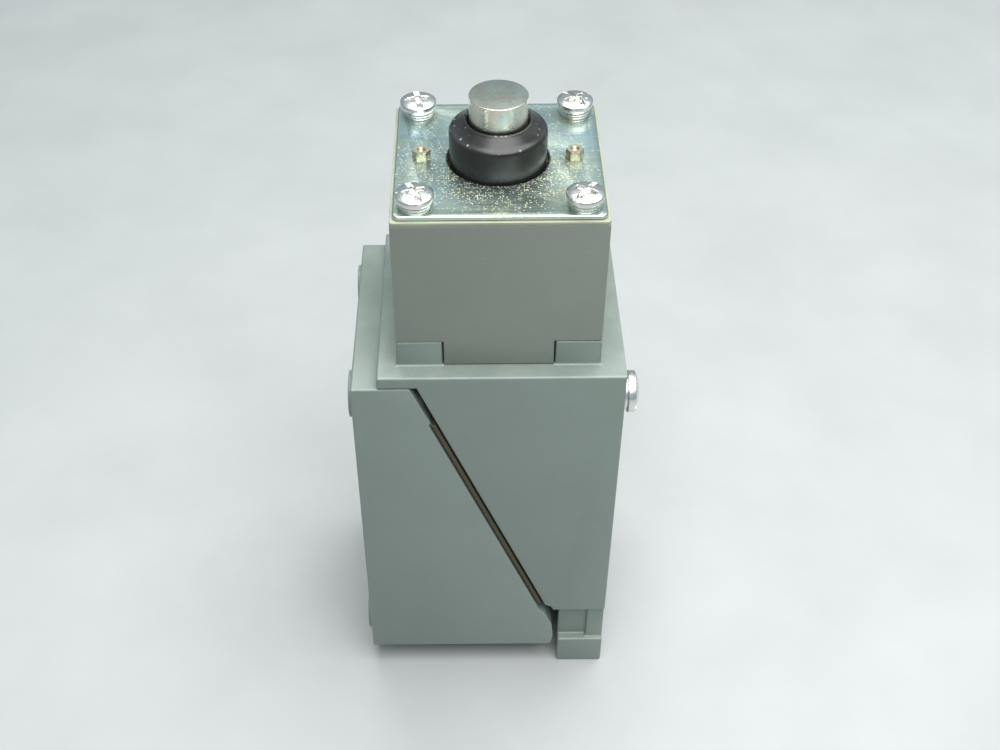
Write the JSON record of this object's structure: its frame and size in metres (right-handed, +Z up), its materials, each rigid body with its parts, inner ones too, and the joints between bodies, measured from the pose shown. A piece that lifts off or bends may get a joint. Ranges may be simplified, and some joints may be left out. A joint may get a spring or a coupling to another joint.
{
  "type": "plug-in limit switch",
  "caption": "Plug-in limit switch with a square head, a booted top push plunger, a slanted joint to its wiring receptacle and a bottom conduit entry.",
  "frame": {"origin": "centre of the conduit entry's mouth, on the plane that the switch stands on", "axes": "+Z up along the conduit and the plunger, towards the plunger's tip; -X is the mounting back; Y across the case, its shortest extent"},
  "size_m": [0.0505, 0.0414, 0.1206],
  "materials": {
    "casting_paint": "satin grey-green enamel on a die casting, faint specks, lighter worn edges",
    "head_paint": "satin olive-grey enamel on a die casting, faint specks",
    "zinc_plate": "bright zinc plate with a faint blue and yellow tint and yellow dust",
    "zinc_steel": "bright zinc-plated steel screws and washers",
    "turned_steel": "satin turned steel with fine rings and a stained top",
    "brass_part": "dull machined brass or bronze",
    "plated_copper": "plated copper alloy contacts and strips",
    "spring_steel": "bright drawn spring wire",
    "green_steel": "green lacquered hex screw",
    "blank_plate": "blank satin aluminium plate",
    "black_rubber": "black rubber with a soft sheen and light dust",
    "gasket_sheet": "brown-olive pressed gasket sheet",
    "tan_sheet": "pale tan fibre gasket, its cut edge lighter",
    "phenolic_black": "black moulded phenolic",
    "nylon_cream": "cream moulded nylon"
  },
  "bodies": {
    "receptacle": {"receptacle_housing": "casting_paint", "joint_gasket": "gasket_sheet", "screw_insert": "brass_part", "terminal_block": "phenolic_black", "terminal_strips": "plated_copper", "terminal_clamps": "zinc_steel", "terminal_screws": "zinc_steel", "terminal_block_screws": "zinc_steel", "ground_screw": "green_steel"},
    "switch_body": {"switch_housing": "casting_paint", "name_plate": "blank_plate", "name_plate_pins": "zinc_steel", "captive_screw": "zinc_steel", "captive_washer": "zinc_steel", "contact_block_base": "phenolic_black", "contact_block_cover": "nylon_cream", "closed_contacts": "plated_copper", "open_contacts": "plated_copper", "block_screws": "zinc_steel", "stem_seal": "black_rubber", "head_housing": "head_paint", "head_seal_ring": "black_rubber", "plate_gasket": "tan_sheet", "top_plate": "zinc_plate", "head_screws": "zinc_steel", "lock_washers": "zinc_steel", "plate_studs": "brass_part", "plunger_boot": "black_rubber", "guide_bushing": "brass_part", "return_spring": "spring_steel", "contact_spring": "spring_steel"},
    "push_plunger": {"plunger": "turned_steel", "retaining_clip": "spring_steel", "spring_seat": "zinc_steel", "overtravel_spring": "spring_steel"},
    "contacts": {"transfer_pin": "nylon_cream", "contact_carrier": "nylon_cream", "contact_bridge": "plated_copper"}
  },
  "joints": [
    {"name": "switch_pull_off", "type": "slide", "parent": "receptacle", "child": "switch_body", "axis": [1, 0, 0], "range_m": [0, 0.03]},
    {"name": "plunger_push", "type": "slide", "parent": "switch_body", "child": "push_plunger", "axis": [0, 0, -1], "range_m": [0, 0.0042], "stiffness_N_per_m": 1900, "springref_m": -0.0063, "deforming": ["return_spring", "plunger_boot", "overtravel_spring"]},
    {"name": "contact_travel", "type": "slide", "parent": "switch_body", "child": "contacts", "axis": [0, 0, -1], "range_m": [0, 0.0021], "stiffness_N_per_m": 300, "springref_m": -0.004, "deforming": ["contact_spring"]}
  ],
  "couplings": [
    {"joint": "contact_travel", "follows": "plunger_push", "ratio": 0.5}
  ]
}
